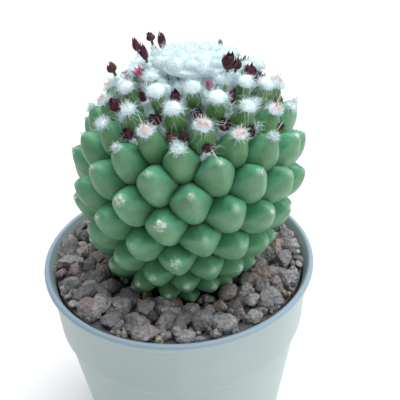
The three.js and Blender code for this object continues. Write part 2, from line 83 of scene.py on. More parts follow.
def rounded_corners(profile, reach, steps=5):
    """The profile with each inner corner replaced by points of a quadratic curve, which starts and
    ends on the two edges at `reach` from the corner, or at 0.45 of a shorter edge."""
    corner = profile[1:-1]

    def toward(end):
        edge = end - corner
        length = np.linalg.norm(edge, axis=1, keepdims=True)
        return corner + edge * np.minimum(reach / length, 0.45)

    start, finish = toward(profile[:-2]), toward(profile[2:])
    t = np.linspace(0, 1, steps)[None, :, None]
    arcs = (1 - t) ** 2 * start[:, None] + 2 * t * (1 - t) * corner[:, None] + t**2 * finish[:, None]
    return np.vstack([profile[:1], arcs.reshape(-1, 2), profile[-1:]])


def grid_faces(rows, columns):
    """Four-sided faces between the neighbours on a grid of points whose last column meets the
    first. They face outwards where columns run anticlockwise and rows run up."""
    index = np.arange(rows * columns).reshape(rows, columns)
    after = np.roll(index, -1, axis=1)
    return np.stack([index[:-1], after[:-1], after[1:], index[1:]], -1).reshape(-1, 4)


def round_axis(radius, angle, height):
    """Points round the Z axis: (radius cos angle, radius sin angle, height)."""
    across = [radius * np.cos(angle), radius * np.sin(angle)]
    return np.stack(np.broadcast_arrays(*across, height), -1)


def turned(profile, sides):
    """A profile of (radius, height) rows carried round the Z axis."""
    turn = 2 * np.pi * np.arange(sides) / sides
    points = round_axis(profile[:, :1], turn, profile[:, 1:])
    return points.reshape(-1, 3), grid_faces(len(profile), sides)


def repeated(faces, size, count):
    """The faces of one shape numbered on for `count` shapes of `size` points each."""
    return (faces + size * np.arange(count)[:, None, None]).reshape(-1, faces.shape[-1])


def make_mesh(name, points, faces, values=None, caps=False):
    """A mesh of points in millimetres with its seams and poles merged. Values are numbers per
    point that its material reads, and caps closes any opening that is left."""
    mesh = bpy.data.meshes.new(name)
    mesh.from_pydata(points * MM, [], faces)
    for title, numbers in (values or {}).items():
        mesh.attributes.new(title, "FLOAT", "POINT").data.foreach_set("value", numbers.ravel())
    shape = bmesh.new()
    shape.from_mesh(mesh)
    bmesh.ops.remove_doubles(shape, verts=shape.verts, dist=1e-6)
    if caps:
        rims = [edge for edge in shape.edges if edge.is_boundary]
        lids = bmesh.ops.holes_fill(shape, edges=rims, sides=0)["faces"]
        bmesh.ops.poke(shape, faces=lids)
    shape.to_mesh(mesh)
    shape.free()
    mesh.shade_smooth()
    return mesh


def add_piece(mesh, look, slot, *nodes):
    """The mesh as a piece of the part, which stands for the CAD nodes that are named."""
    mesh.materials.append(look)
    piece = bpy.data.objects.new(mesh.name, mesh)
    bpy.context.scene.collection.objects.link(piece)
    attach(piece, "root")
    if nodes:
        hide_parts(*nodes)
    return piece


def add_node(tree, kind, inputs=None, **settings):
    """A node of a material, with its settings, and its inputs as values or as links."""
    node = tree.nodes.new(kind)
    for name, value in settings.items():
        setattr(node, name, value)
    for name, value in (inputs or {}).items():
        if isinstance(value, bpy.types.NodeSocket):
            tree.links.new(value, node.inputs[name])
        else:
            node.inputs[name].default_value = value
    return node


def mixed(tree, factor, first, second, **settings):
    """Two colours mixed: the first at factor 0, and at 1 the second, or what the settings make of both."""
    colours = {0: factor, 6: first, 7: second}
    return add_node(tree, "ShaderNodeMix", colours, data_type="RGBA", **settings).outputs[2]


def stretched(tree, value, low, high, **settings):
    """A number stretched so that it runs from 0 at low to 1 at high."""
    span = {"Value": value, "From Min": low, "From Max": high}
    return add_node(tree, "ShaderNodeMapRange", span, **settings).outputs[0]


def product(tree, first, second):
    """Two numbers of a material multiplied."""
    return add_node(tree, "ShaderNodeMath", {0: first, 1: second}, operation="MULTIPLY").outputs[0]


def object_place(tree):
    """Where a point of the piece lies, in metres."""
    return add_node(tree, "ShaderNodeTexCoord").outputs["Object"]


def new_group(name, inputs, outputs):
    """A shader node group with named inputs, given with their usual values, and outputs."""
    group = bpy.data.node_groups.new(name, "ShaderNodeTree")
    for title, value in inputs.items():
        kind = "NodeSocketColor" if isinstance(value, tuple) else "NodeSocketFloat"
        group.interface.new_socket(title, in_out="INPUT", socket_type=kind).default_value = value
    for title, kind in outputs.items():
        group.interface.new_socket(title, in_out="OUTPUT", socket_type=kind)
    return group, group.nodes.new("NodeGroupInput").outputs, group.nodes.new("NodeGroupOutput").inputs


# Two effects that most of the finishes share: a colour that varies in soft patches, and a fine
# unevenness of the surface. Scale is in patches per metre, and depth in metres.
patchy, given, result = new_group(
    "patchy_colour",
    {"Colour": (0.5, 0.5, 0.5, 1), "Patches": (0.4, 0.4, 0.4, 1), "Scale": 200.0, "Amount": 0.5},
    {"Colour": "NodeSocketColor"},
)
cloud = {"Vector": object_place(patchy), "Scale": given["Scale"], "Detail": 4.0}
cloud = add_node(patchy, "ShaderNodeTexNoise", cloud).outputs[0]
amount = product(patchy, stretched(patchy, cloud, 0.35, 0.65), given["Amount"])
patchy.links.new(mixed(patchy, amount, given["Colour"], given["Patches"]), result["Colour"])

uneven, given, result = new_group(
    "uneven_surface", {"Scale": 1000.0, "Depth": 0.0001, "Strength": 1.0}, {"Normal": "NodeSocketVector"}
)
grain = {"Vector": object_place(uneven), "Scale": given["Scale"], "Detail": 5.0}
grain = add_node(uneven, "ShaderNodeTexNoise", grain).outputs[0]
bump = {"Height": grain, "Distance": given["Depth"], "Strength": given["Strength"]}
uneven.links.new(add_node(uneven, "ShaderNodeBump", bump).outputs[0], result["Normal"])


def new_look(name, **sockets):
    """A material with a Principled shader, whose sockets take the values that are given."""
    look = bpy.data.materials.new(name)
    look.use_nodes = True
    shader = look.node_tree.nodes["Principled BSDF"]
    for title, value in sockets.items():
        shader.inputs[title.replace("_", " ")].default_value = value
    return look, look.node_tree, shader


def patches(tree, colour, other, scale, amount):
    """The shared patchy colour placed in a material."""
    values = {"Colour": colour, "Patches": other, "Scale": scale, "Amount": amount}
    return add_node(tree, "ShaderNodeGroup", values, node_tree=patchy).outputs["Colour"]


def unevenness(tree, shader, scale, depth, strength=1.0):
    """The shared uneven surface placed in a material, on the shader's normal."""
    values = {"Scale": scale, "Depth": depth, "Strength": strength}
    node = add_node(tree, "ShaderNodeGroup", values, node_tree=uneven)
    tree.links.new(node.outputs["Normal"], shader.inputs["Normal"])


pot_plastic, tree, shader = new_look("pot_plastic", Roughness=0.42, Specular_IOR_Level=0.45)
wall_colour = patches(tree, (0.425, 0.515, 0.505, 1), (0.375, 0.45, 0.445, 1), 45.0, 0.6)
# Painted shade: the lip is the same plastic as the wall, but it is coloured darker and bluer for the light
# that falls on it.
height = add_node(tree, "ShaderNodeSeparateXYZ", {"Vector": object_place(tree)}).outputs["Z"]
lip_shade_mask = stretched(tree, height, (POT_HEIGHT - 1.0) * MM, (POT_HEIGHT - 0.5) * MM)
tree.links.new(mixed(tree, lip_shade_mask, wall_colour, (0.28, 0.38, 0.45, 1)), shader.inputs["Base Color"])
unevenness(tree, shader, 900.0, 0.00003, 0.4)

pot = make_mesh("nursery_pot", *turned(rounded_corners(POT_PROFILE, CORNER_REACH), POT_SIDES))
drain_profile = np.array([[0, -2], [DRAIN_RADIUS, -2], [DRAIN_RADIUS, 6], [0, 6]])
drill_points, drill_faces = turned(drain_profile, 32)
hole_places = round_axis(DRAIN_CIRCLE, 2 * np.pi * np.arange(DRAIN_HOLES) / DRAIN_HOLES, 0)
drill_faces = repeated(drill_faces, len(drill_points), DRAIN_HOLES)
drills = make_mesh("drills", (drill_points + hole_places[:, None]).reshape(-1, 3), drill_faces)
pot_piece = add_piece(pot, pot_plastic, "pot", "pot")
drill_piece = bpy.data.objects.new("drills", drills)
bpy.context.scene.collection.objects.link(drill_piece)
cut = pot_piece.modifiers.new("drain_holes", "BOOLEAN")
cut.operation = "DIFFERENCE"
cut.object = drill_piece
bpy.context.view_layer.update()
drilled = bpy.data.meshes.new_from_object(pot_piece.evaluated_get(bpy.context.evaluated_depsgraph_get()))
pot_piece.modifiers.clear()
pot_piece.data = drilled
drilled.name = "nursery_pot"
drilled.set_sharp_from_angle(angle=math.radians(50))
bpy.data.objects.remove(drill_piece)


# Soil: dark peaty potting mix with a little grit, filled in loose. It shows only through the
# drain holes and between the stones, so the CAD body stays and takes this finish.
potting_mix, tree, shader = new_look("potting_mix", Roughness=0.95)
mix_colour = patches(tree, (0.03, 0.021, 0.015, 1), (0.075, 0.052, 0.036, 1), 500.0, 1.0)
tree.links.new(mix_colour, shader.inputs["Base Color"])
unevenness(tree, shader, 900.0, 0.0006)
soil_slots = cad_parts["soil"].data.materials
soil_slots.clear()
soil_slots.append(potting_mix)


# Gravel: a top dressing of grey-brown pumice stones, 3 to 6 mm, poured round the plant up to just
# under the lip. Grit lies between and under the stones.
BED_TOP = 55.8
BED_RADIUS = 32.0
STONE_COUNT = 148
STONE_SEED = 11
DRAWS_PER_STONE = 21
STONE_FIELD_RADIUS = 30.6
GOLDEN_ANGLE = 137.50776405
# Rings about the pot's axis: no stone lies inside the first, stones inside the second are moved
# outwards, and the bed rises beyond the third and once more near the wall.
EMPTY_RING = 18.6
MOVED_RING = 20.4
RISING_RING = 26.0
WALL_RING = 29.0


def seeded_draws(seed, count):
    """Numbers from 0 to 1 in the order in which the part's own source draws them."""
    draws, state = np.empty(count), seed
    for k in range(count):
        state = (state * 1664525 + 1013904223) % 4294967296
        draws[k] = state / 4294967296
    return draws


def turn_matrices(x, y, z):
    """Matrices that turn about X, then Y, then Z by the angles in three arrays."""
    zero, one = np.zeros_like(x), np.ones_like(x)
    about_x = np.array([[one, zero, zero], [zero, np.cos(x), -np.sin(x)], [zero, np.sin(x), np.cos(x)]])
    about_y = np.array([[np.cos(y), zero, np.sin(y)], [zero, one, zero], [-np.sin(y), zero, np.cos(y)]])
    about_z = np.array([[np.cos(z), -np.sin(z), zero], [np.sin(z), np.cos(z), zero], [zero, zero, one]])
    return np.einsum("ijn,jkn,kln->nil", about_z, about_y, about_x)


def unit_length(vectors):
    """The same vectors with length 1."""
    return vectors / np.linalg.norm(vectors, axis=-1, keepdims=True)


def ball(steps):
    """Points and triangles of a sphere of radius 1: a cube with `steps` squares along each edge,
    whose points are spread evenly by their angle and pushed out to the sphere."""
    shape = bmesh.new()
    bmesh.ops.create_cube(shape, size=2)
    bmesh.ops.subdivide_edges(shape, edges=shape.edges, cuts=steps - 1, use_grid_fill=True)
    bmesh.ops.triangulate(shape, faces=shape.faces)
    points = unit_length(np.tan(np.array([vertex.co for vertex in shape.verts]) * np.pi / 4))
    faces = np.array([[vertex.index for vertex in face.verts] for face in shape.faces])
    shape.free()
    return points, faces


def soft_noise(points, seed, scale):
    """A smooth number, mostly from -1 to 1, at each point: a third of six sines along seeded lines."""
    lines = np.random.default_rng(seed).normal(size=(6, 3)) * scale
    shifts = np.random.default_rng(seed + 1).uniform(0, 2 * np.pi, 6)
    return np.sin(points @ lines.T + shifts).sum(-1) / 3


BROKEN_SIDES = 10
SIDE_DISTANCES = (0.6, 0.95)
LONGEST_REACH = 1.25
STONE_ROUGHNESS = 0.04


def stones(places, radii, shares, turns, seed, steps):
    """A stone at each place: a ball of its radius with broken flat sides, roughened, squeezed to
    its shares, and turned. A side with normal n at distance d cuts the ball's point u at d / u.n."""
    unit, faces = ball(steps)
    broken = np.random.default_rng(seed)
    normals = unit_length(broken.normal(size=(len(places), BROKEN_SIDES, 3)))
    toward = np.einsum("pj,skj->spk", unit, normals)
    cut = broken.uniform(*SIDE_DISTANCES, (len(places), 1, BROKEN_SIDES)) / np.maximum(toward, 0.05)
    rough = broken.uniform(-STONE_ROUGHNESS, STONE_ROUGHNESS, (len(places), len(unit)))
    reach = np.minimum(cut.min(-1), LONGEST_REACH) + rough
    shaped = unit * reach[..., None] * shares[:, None] * radii[:, None, None]
    points = np.einsum("nij,nkj->nki", turn_matrices(*turns.T), shaped) + places[:, None]
    return points.reshape(-1, 3), repeated(faces, len(unit), len(places)), len(unit)


draws = seeded_draws(STONE_SEED, STONE_COUNT * DRAWS_PER_STONE).reshape(STONE_COUNT, DRAWS_PER_STONE)
number = np.arange(STONE_COUNT)
stone_radii = 1.8 + 1.1 * draws[:, 1]
stone_ring = STONE_FIELD_RADIUS * np.sqrt((number + 0.5) / STONE_COUNT)
stone_ring = np.minimum(stone_ring, BED_RADIUS - stone_radii)
stone_angle = np.radians(GOLDEN_ANGLE * number - 3 + 6 * draws[:, 0])
stone_level = BED_TOP + 0.4 + stone_radii * (0.15 + 0.35 * draws[:, 20])
stone_level += 1.7 * (stone_ring > RISING_RING)
stone_shares = np.array([0.95, 0.8, 0.7]) + np.array([0.25, 0.2, 0.2]) * draws[:, 14:17]
stone_turns = np.stack([1.2 * draws[:, 17] - 0.6, 1.2 * draws[:, 18] - 0.6, 2 * np.pi * draws[:, 19]], 1)
stone_ring = np.where(stone_ring < MOVED_RING, stone_ring + 1.2, stone_ring)
kept = stone_ring > EMPTY_RING
stone_places = round_axis(stone_ring, stone_angle, stone_level)

GRIT_COUNT = 640
GRIT_INNER = 14.5
GRIT_OUTER = 31.8
chance = np.random.default_rng(23)
grit_number = np.arange(GRIT_COUNT)
grit_share = ((grit_number + 0.5) / GRIT_COUNT) ** 0.8
grit_ring = np.sqrt(GRIT_INNER**2 + (GRIT_OUTER**2 - GRIT_INNER**2) * grit_share)
grit_angle = np.radians(GOLDEN_ANGLE * grit_number + chance.uniform(-9, 9, GRIT_COUNT))
grit_radii = chance.uniform(0.75, 1.6, GRIT_COUNT)
grit_level = BED_TOP + 0.1 + chance.uniform(-0.6, 0.7, GRIT_COUNT)
grit_level += 1.6 * (grit_ring > RISING_RING) + 0.9 * (grit_ring > WALL_RING)
grit_level -= 0.2 * np.clip(19.5 - grit_ring, 0, 5)
grit_places = round_axis(grit_ring, grit_angle, grit_level)
grit_shares = chance.uniform(0.65, 1.25, (GRIT_COUNT, 3))
grit_turns = chance.uniform(-3, 3, (GRIT_COUNT, 3))
big_points, big_faces, per_stone = stones(
    stone_places[kept], 1.04 * stone_radii[kept], stone_shares[kept], stone_turns[kept], 31, 6
)
grit_points, grit_faces, per_grit = stones(grit_places, grit_radii, grit_shares, grit_turns, 32, 2)
big_tint, grit_tint = chance.uniform(0, 1, kept.sum()), chance.uniform(0, 1, GRIT_COUNT)
tint = np.concatenate([np.repeat(big_tint, per_stone), np.repeat(grit_tint, per_grit)])
bed_profile = np.array([[15.5, 52.8], [BED_RADIUS, 52.8], [BED_RADIUS, BED_TOP + 1.8], [27, BED_TOP + 0.7],
                        [19.6, BED_TOP - 0.6], [15.5, 53.2], [15.5, 52.8]])
bed_points, bed_faces = turned(bed_profile, 96)


def held_number(tree, title):
    """A number that the piece's mesh holds at each point, by its title."""
    return add_node(tree, "ShaderNodeAttribute", attribute_name=title).outputs["Fac"]


def ramp_colour(tree, title, stops):
    """A colour that follows a held number through the stops, which are (number, colour) pairs. The
    two stops that a new ramp comes with are taken off."""
    node = add_node(tree, "ShaderNodeValToRGB", {"Fac": held_number(tree, title)})
    for position, colour in stops:
        node.color_ramp.elements.new(position).color = colour
    node.color_ramp.elements.remove(node.color_ramp.elements[0])
    node.color_ramp.elements.remove(node.color_ramp.elements[-1])
    return node.outputs["Color"]


# Most stones are grey, from dark to light, and a few are reddish or tan.
pumice, tree, shader = new_look("pumice", Roughness=0.93, Specular_IOR_Level=0.25)
stone_colour = ramp_colour(tree, "tint", [
    (0.01, (0.17, 0.165, 0.175, 1)), (0.35, (0.34, 0.33, 0.34, 1)), (0.7, (0.55, 0.53, 0.54, 1)),
    (0.82, (0.36, 0.3, 0.3, 1)), (0.94, (0.5, 0.385, 0.35, 1)), (0.99, (0.54, 0.43, 0.32, 1)),
])
# The dark patches are painted shade, for the pits of the pumice.
pit_shade_patches = patches(tree, stone_colour, (0.12, 0.112, 0.115, 1), 1300.0, 0.6)
tree.links.new(pit_shade_patches, shader.inputs["Base Color"])
unevenness(tree, shader, 900.0, 0.0011)


def halved(faces):
    """Four-sided faces as triangles."""
    return np.vstack([faces[:, [0, 1, 2]], faces[:, [0, 2, 3]]])


def joined(*shapes):
    """Several (points, faces) pairs as one, and the number of points of each."""
    sizes = [len(points) for points, faces in shapes]
    firsts = np.concatenate([[0], np.cumsum(sizes)[:-1]])
    faces = np.vstack([faces + first for (points, faces), first in zip(shapes, firsts)])
    return np.vstack([points for points, faces in shapes]), faces, sizes


bed = (bed_points, halved(bed_faces))
points, faces, sizes = joined((big_points, big_faces), (grit_points, grit_faces), bed)
# No stone reaches into the wall.
reach = np.hypot(points[:, 0], points[:, 1])
points[:, :2] *= np.minimum(1, (BAND_RADIUS - WALL - 0.1) / reach)[:, None]
tint = np.concatenate([tint, np.zeros(sizes[2])])
gravel_mesh = make_mesh("pumice_gravel", points, faces, {"tint": tint})
gravel_mesh.set_sharp_from_angle(angle=math.radians(34))
add_piece(gravel_mesh, pumice, "gravel", "gravel")


# Stem: the one-piece green body. Its tubercles stand on one golden-angle spiral, in 8 spirals one
# way and 13 the other, slender and upright at the crown, fat and blunt lower down.
FIRST_ANGLE = -89.5
STEP_RIGHT = 8
STEP_LEFT = 13
STEP_DOWN = STEP_RIGHT + STEP_LEFT
FIRST_TUBERCLE = -61
LAST_TUBERCLE = 80
LEAN = 0.105
LEAN_OFFSET = 0.45
# Place on the spiral, radius and height of the tip over the lip, length, rise in degrees, radius
# of the round end, and radius of the wool tuft on the tip.
STATIONS = np.array([
    [-104, 1.0, 47.6, 3.0, 85, 1.0, 0.0],
    [-82, 6.4, 48.4, 4.5, 80, 1.0, 1.2],
    [-60, 10.9, 50.2, 7.0, 74, 1.3, 1.6],
    [-47, 15.1, 48.2, 8.6, 68, 1.8, 2.1],
    [-35, 19.1, 44.8, 10.0, 62, 2.6, 2.0],
    [-26, 21.5, 42.4, 11.0, 58, 3.2, 1.8],
    [-20, 22.8, 40.7, 11.5, 55, 3.6, 1.1],
    [-12, 24.9, 38.2, 12.0, 50, 3.9, 0.0],
    [12, 27.8, 26.9, 12.5, 31, 4.3, 0.0],
    [40, 25.0, 12.4, 11.0, 16, 4.0, 0.0],
    [70, 18.6, -0.8, 7.5, 3, 2.9, 0.0],
    [90, 13.0, -8.0, 5.0, -4, 2.2, 0.0],
])
UP = np.array([0.0, 0.0, 1.0])


def station(column, place):
    """A column of the stations at places on the spiral: a cubic through the rows, whose slope at
    each row is that of the line between the rows before and after it."""
    rows, values = STATIONS[:, 0], STATIONS[:, column]
    before = np.maximum(np.arange(len(rows)) - 1, 0)
    after = np.minimum(np.arange(len(rows)) + 1, len(rows) - 1)
    slope = (values[after] - values[before]) / (rows[after] - rows[before])
    place = np.asarray(place, float)
    row = np.clip(np.searchsorted(rows, place, side="right") - 1, 0, len(rows) - 2)
    span = rows[row + 1] - rows[row]
    t = np.clip((place - rows[row]) / span, 0, 1)
    return ((2 * t**3 - 3 * t**2 + 1) * values[row] + (t**3 - 2 * t**2 + t) * span * slope[row]
            + (3 * t**2 - 2 * t**3) * values[row + 1] + (t**3 - t**2) * span * slope[row + 1])


def direction(place):
    """The way a tubercle points: out along its spiral angle and up by its rise."""
    angle = np.radians(FIRST_ANGLE + GOLDEN_ANGLE * np.asarray(place, float))
    rise = np.radians(station(4, place))
    return round_axis(np.cos(rise), angle, np.sin(rise))


def leaned(points):
    """Points with the plant's lean: x grows with the height over the lip."""
    shift = LEAN_OFFSET + LEAN * (points[..., 2] - POT_HEIGHT)
    return points + shift[..., None] * np.array([1.0, 0, 0])


def tip(place):
    """The tip of a tubercle, at its radius, angle and height."""
    angle = np.radians(FIRST_ANGLE + GOLDEN_ANGLE * np.asarray(place, float))
    return leaned(round_axis(station(1, place), angle, POT_HEIGHT + station(2, place)))


def root(place):
    """The root of a tubercle, its length back from the tip."""
    return tip(place) - station(3, place)[..., None] * direction(place)


def axil(place, point_of):
    """The middle between a tubercle and the three under it, at their roots or at their tips."""
    steps = np.array([0, STEP_RIGHT, STEP_LEFT, STEP_DOWN])
    return point_of(np.asarray(place)[..., None] + steps).mean(-2)


def sideways(aim):
    """Two unit lines across each aim: to the left as seen from outside, and up."""
    left = unit_length(np.cross(aim, UP))
    return left, np.cross(left, aim)


def smooth_step(value, start, end):
    """0 up to start, 1 from end on, and 3 t squared less 2 t cubed at a share t of the way."""
    t = np.clip((value - start) / (end - start), 0, 1)
    return t * t * (3 - 2 * t)


EDGE_STEPS = 8
ALONG = np.array([0, 0.12, 0.24, 0.35, 0.45, 0.55, 0.64, 0.72, 0.79, 0.85, 0.9, 0.94, 0.97, 0.99, 1])
TAPER_SHARE = 1.9
BELLY_DROP = 0.07
KEEL_WIDTH = 0.07
# Tubercles whose tips carry chalky white scurf.
SCURFY = (2, 5, 13, 23, 34, 44, 60)

place = np.arange(FIRST_TUBERCLE, LAST_TUBERCLE + 1)
count = len(place)
corner_places = place[:, None] + np.array([-STEP_DOWN, -STEP_RIGHT, 0, -STEP_LEFT])
fraction = np.arange(EDGE_STEPS) / EDGE_STEPS


def along_edges(corners):
    """Values at the four corners of each cell, carried in straight lines along its edges."""
    following = np.roll(corners, -1, axis=1)
    share = fraction.reshape((1, 1, -1) + (1,) * (corners.ndim - 2))
    lines = corners[:, :, None] + (following - corners)[:, :, None] * share
    return lines.reshape((count, 4 * EDGE_STEPS) + corners.shape[2:])


low_corners, high_corners = axil(corner_places, root), axil(corner_places, tip)
low, high = along_edges(low_corners), along_edges(high_corners)
aim = direction(place)
left, top = sideways(aim)
tips, roots = tip(place), root(place)

# The ring of a tubercle is turned so that its corners lie over the corners of its cell.
from_axis = (low_corners + high_corners - (tips + roots)[:, None]) / 2
quarter = np.pi / 2 * np.arange(4)
corner_turn = np.arctan2((from_axis * left[:, None]).sum(-1), (from_axis * top[:, None]).sum(-1))
corner_turn = quarter + (corner_turn - quarter + np.pi) % (2 * np.pi) - np.pi
next_turn = np.hstack([corner_turn[:, 1:], corner_turn[:, :1] + 2 * np.pi])
ring_turn = (corner_turn[:, :, None] + (next_turn - corner_turn)[:, :, None] * fraction).reshape(count, -1)

# A squared circle: n is 2 for the round young tubercles and at the tips, and over 3 lower down.
power = 2 + 1.3 * smooth_step(place[:, None], -50, -12) * smooth_step(ALONG, 1.05, 0.55)
corner_angle = np.pi * np.tile(fraction, 4) / 2 + np.pi / 4
n = power[:, :, None]
squareness = (np.abs(np.cos(corner_angle)) ** n + np.abs(np.sin(corner_angle)) ** n) ** (-1 / n)

# The radius at a share t of the taper from the tip is the girth times (1 - (1 - t)^1.5)^0.55.
length, girth = station(3, place)[:, None], 1.05 * station(5, place)[:, None]
taper = np.clip((1 - ALONG) * length / (TAPER_SHARE * girth), 0, 1)
ring_radius = girth * (1 - (1 - taper) ** 1.5) ** 0.55
across = np.cos(ring_turn)[..., None] * top[:, None] + np.sin(ring_turn)[..., None] * left[:, None]
centre = roots[:, None] + ALONG[:, None] * (tips - roots)[:, None]
ring = centre[:, :, None] + (ring_radius[:, :, None] * squareness)[..., None] * across[:, None]
# The belly: below its tip a tubercle hangs down a little, so its upper face is the flatter one.
belly = BELLY_DROP * girth * np.sin(np.pi * np.clip((ALONG - 0.4) / 0.6, 0, 1)) ** 2
ring = ring - belly[:, :, None, None] * top[:, None, None]
cell = low[:, None] + ALONG[:, None, None] * (high - low)[:, None]
roundness = smooth_step(ALONG, 0, 0.4)[:, None, None]
stem_points = cell + (ring - cell) * roundness

rows, columns = len(ALONG), 4 * EDGE_STEPS
stem_faces = repeated(grid_faces(rows, columns), rows * columns, count)
nearest_corner = np.minimum(np.tile(fraction, 4), 1 - np.tile(fraction, 4))
keel = np.exp(-((nearest_corner / KEEL_WIDTH) ** 2))
shape = (count, rows, columns)
# The tips of the oldest ones are worn and corky.
corky = 0.6 * smooth_step(place, 36, 50) * (place % 5 != 1)
chalk = np.maximum(np.isin(place, SCURFY), corky)[:, None, None] * smooth_step(ALONG[:, None], 0.91, 0.99)
stem_values = {
    "chalk": np.broadcast_to(chalk, shape),
    "along": np.broadcast_to(ALONG[None, :, None], shape),
    "keel": np.broadcast_to(keel, shape),
    "under": np.broadcast_to(0.5 - 0.5 * np.cos(ring_turn)[:, None], shape),
    "age": np.broadcast_to(np.linspace(0, 1, count)[:, None, None], shape),
}

stem_skin, tree, shader = new_look(
    "stem_skin", Roughness=0.4, Specular_IOR_Level=0.4, Subsurface_Weight=0.1, Subsurface_Scale=0.003,
    Subsurface_Radius=(0.35, 1.0, 0.4),
)


def reading(tree, title, low, high):
    """A held number stretched so that it runs smoothly from 0 at low to 1 at high."""
    return stretched(tree, held_number(tree, title), low, high, interpolation_type="SMOOTHSTEP")


# Painted shade and reflection: the upper faces of the tubercles are coloured darker and bluer than the
# lower ones, for shade and a reflection of the sky on them.
shaded_upper_face = patches(tree, (0.06, 0.255, 0.13, 1), (0.13, 0.39, 0.235, 1), 260.0, 0.9)
lit_lower_face = patches(tree, (0.17, 0.35, 0.22, 1), (0.1, 0.25, 0.115, 1), 260.0, 0.9)
faces_colour = mixed(tree, reading(tree, "under", 0.35, 0.68), shaded_upper_face, lit_lower_face)
# Lower down the colour turns to one dull green: partly the older tubercles' own colour, partly painted
# shade near the base of the stem.
oldest = patches(tree, (0.15, 0.33, 0.17, 1), (0.1, 0.27, 0.15, 1), 260.0, 1.0)
faces_colour = mixed(tree, product(tree, reading(tree, "age", 0.5, 0.85), 0.75), faces_colour, oldest)
young = mixed(tree, reading(tree, "age", 0.36, 0.08), faces_colour, (0.085, 0.2, 0.05, 1))
# Deep in the grooves the older tubercles turn dark green, which is painted shade, and the young ones turn
# pale blue-grey where wool fills their axils.
groove_shade_and_wool = mixed(tree, reading(tree, "age", 0.27, 0.18), (0.03, 0.12, 0.045, 1), (0.6, 0.74, 0.74, 1))
deep = mixed(tree, reading(tree, "along", 0.5, 0.12), young, groove_shade_and_wool)
# A faint pale line along the corners of each tubercle is a painted highlight on its keels.
keel_highlighted = mixed(tree, product(tree, reading(tree, "keel", 0.0, 1.0), 0.08), deep, (0.3, 0.48, 0.3, 1))
# The very tips are painted paler, for light that shines through their flesh.
pale_lit_tip = mixed(tree, reading(tree, "along", 0.96, 1.0), keel_highlighted, (0.24, 0.43, 0.29, 1))

# Pale specks all over the skin, and the scurf on the tips that carry it.
cells = {"Vector": object_place(tree), "Scale": 1500.0, "Randomness": 1.0}
cells = add_node(tree, "ShaderNodeTexVoronoi", cells).outputs["Distance"]
specked = mixed(tree, product(tree, stretched(tree, cells, 0.16, 0.1), 0.25), pale_lit_tip, (0.3, 0.5, 0.36, 1))
scurf = {"Vector": object_place(tree), "Scale": 1400.0, "Detail": 6.0}
scurf = add_node(tree, "ShaderNodeTexNoise", scurf).outputs[0]
in_scurf = product(tree, stretched(tree, scurf, 0.42, 0.68), reading(tree, "chalk", 0.1, 0.9))
tree.links.new(mixed(tree, in_scurf, specked, (0.72, 0.8, 0.76, 1)), shader.inputs["Base Color"])
unevenness(tree, shader, 600.0, 0.0002, 0.6)
add_piece(
    make_mesh("stem_with_tubercles", stem_points.reshape(-1, 3), stem_faces, stem_values, caps=True),
    stem_skin, "stem", "stem",
)


# Flowers: each grew in an axil and dried where it stood. The dry ones are a dark maroon bunch of
# papery petals on a short tube, the buds stay closed and twisted, and two are still pink.

# Axil, kind, width and height of the head, and how far it stands aside.
BLOOMS = [
    (-53, "bud", 2.2, 2.4, 0), (-56, "dried", 1.9, 2.8, 2.3), (-74, "dried", 1.8, 3.6, 0),
    (-69, "bud", 1.9, 2.2, -1.2), (-77, "dried", 1.9, 3.8, 1.6), (-48, "dried", 2.8, 2.4, 0),
    (-66, "fresh", 2.6, 3.6, 0), (-73, "dried", 2.8, 3.8, -1.9), (-73, "bud", 1.9, 2.2, 1),
    (-65, "dried", 2.6, 2.6, 0), (-57, "dried", 2.3, 2.6, 0), (-68, "fresh", 1.7, 2.2, 0),
    (-63, "dried", 2.3, 3.4, 0), (-60, "bud", 1.8, 3.8, 0), (-58, "bud", 1.6, 2.8, 0),
    (-45, "dried", 2.8, 2.8, 0), (-50, "dried", 2.8, 2.0, 0), (-55, "dried", 2.4, 2.4, 0),
    (-47, "dried", 2.4, 2.4, 0), (-39, "bud", 2.1, 3.2, -1.2), (-31, "bud", 1.6, 2, -0.8),
    (-37, "dried", 2.3, 2.2, 0), (-42, "dried", 1.9, 2.2, -1.3), (-42, "bud", 2.2, 2.4, 1.3),
    (-34, "dried", 1.9, 1.8, -0.5), (-44, "bud", 1.4, 2.0, 0), (-62, "dried", 2.4, 3.0, 0),
    (-67, "dried", 1.2, 1.4, 0), (-54, "bud", 2.1, 2.8, 0), (-51, "dried", 2.4, 2.6, 0),
    (-46, "dried", 2.5, 2.6, 0), (-43, "bud", 2.2, 3.0, 0), (-38, "dried", 2.3, 2.4, 0),
    (-36, "dried", 1.7, 2, 0), (-30, "bud", 2.1, 2.6, 0),
]
# How far the palest flowers have faded to tan, by their number.
FADED = {1: 0.2, 4: 0.15, 6: 0.6, 23: 0.4}
# Layers of petals of each kind: how many, where they start, swell and end as shares of the head's
# width and height, their width as a share of the head's, and how far they twist in radians.
PETAL_LAYERS = {
    "dried": [(8, (0.26, -0.48), (0.64, -0.1), (0.42, 0.42), 0.46, 0.5),
              (7, (0.2, -0.3), (0.44, 0.2), (0.2, 0.62), 0.36, 0.9),
              (6, (0.3, -0.4), (0.7, 0.0), (0.6, 0.3), 0.18, 0.9)],
    "bud": [(7, (0.24, -0.48), (0.72, -0.12), (0.12, 0.54), 0.6, 1.0),
            (4, (0.2, -0.3), (0.5, 0.2), (0.3, 0.62), 0.2, 0.8)],
    "fresh": [(12, (0.12, -0.45), (0.34, 0.1), (0.62, 0.42), 0.34, 0.2),
              (8, (0.08, -0.3), (0.24, 0.25), (0.32, 0.54), 0.28, 0.3)],
}
PETAL_ROWS = 6
PETAL_SIDES = 4
RAGGED_TIPS = (0.55, 1.25)


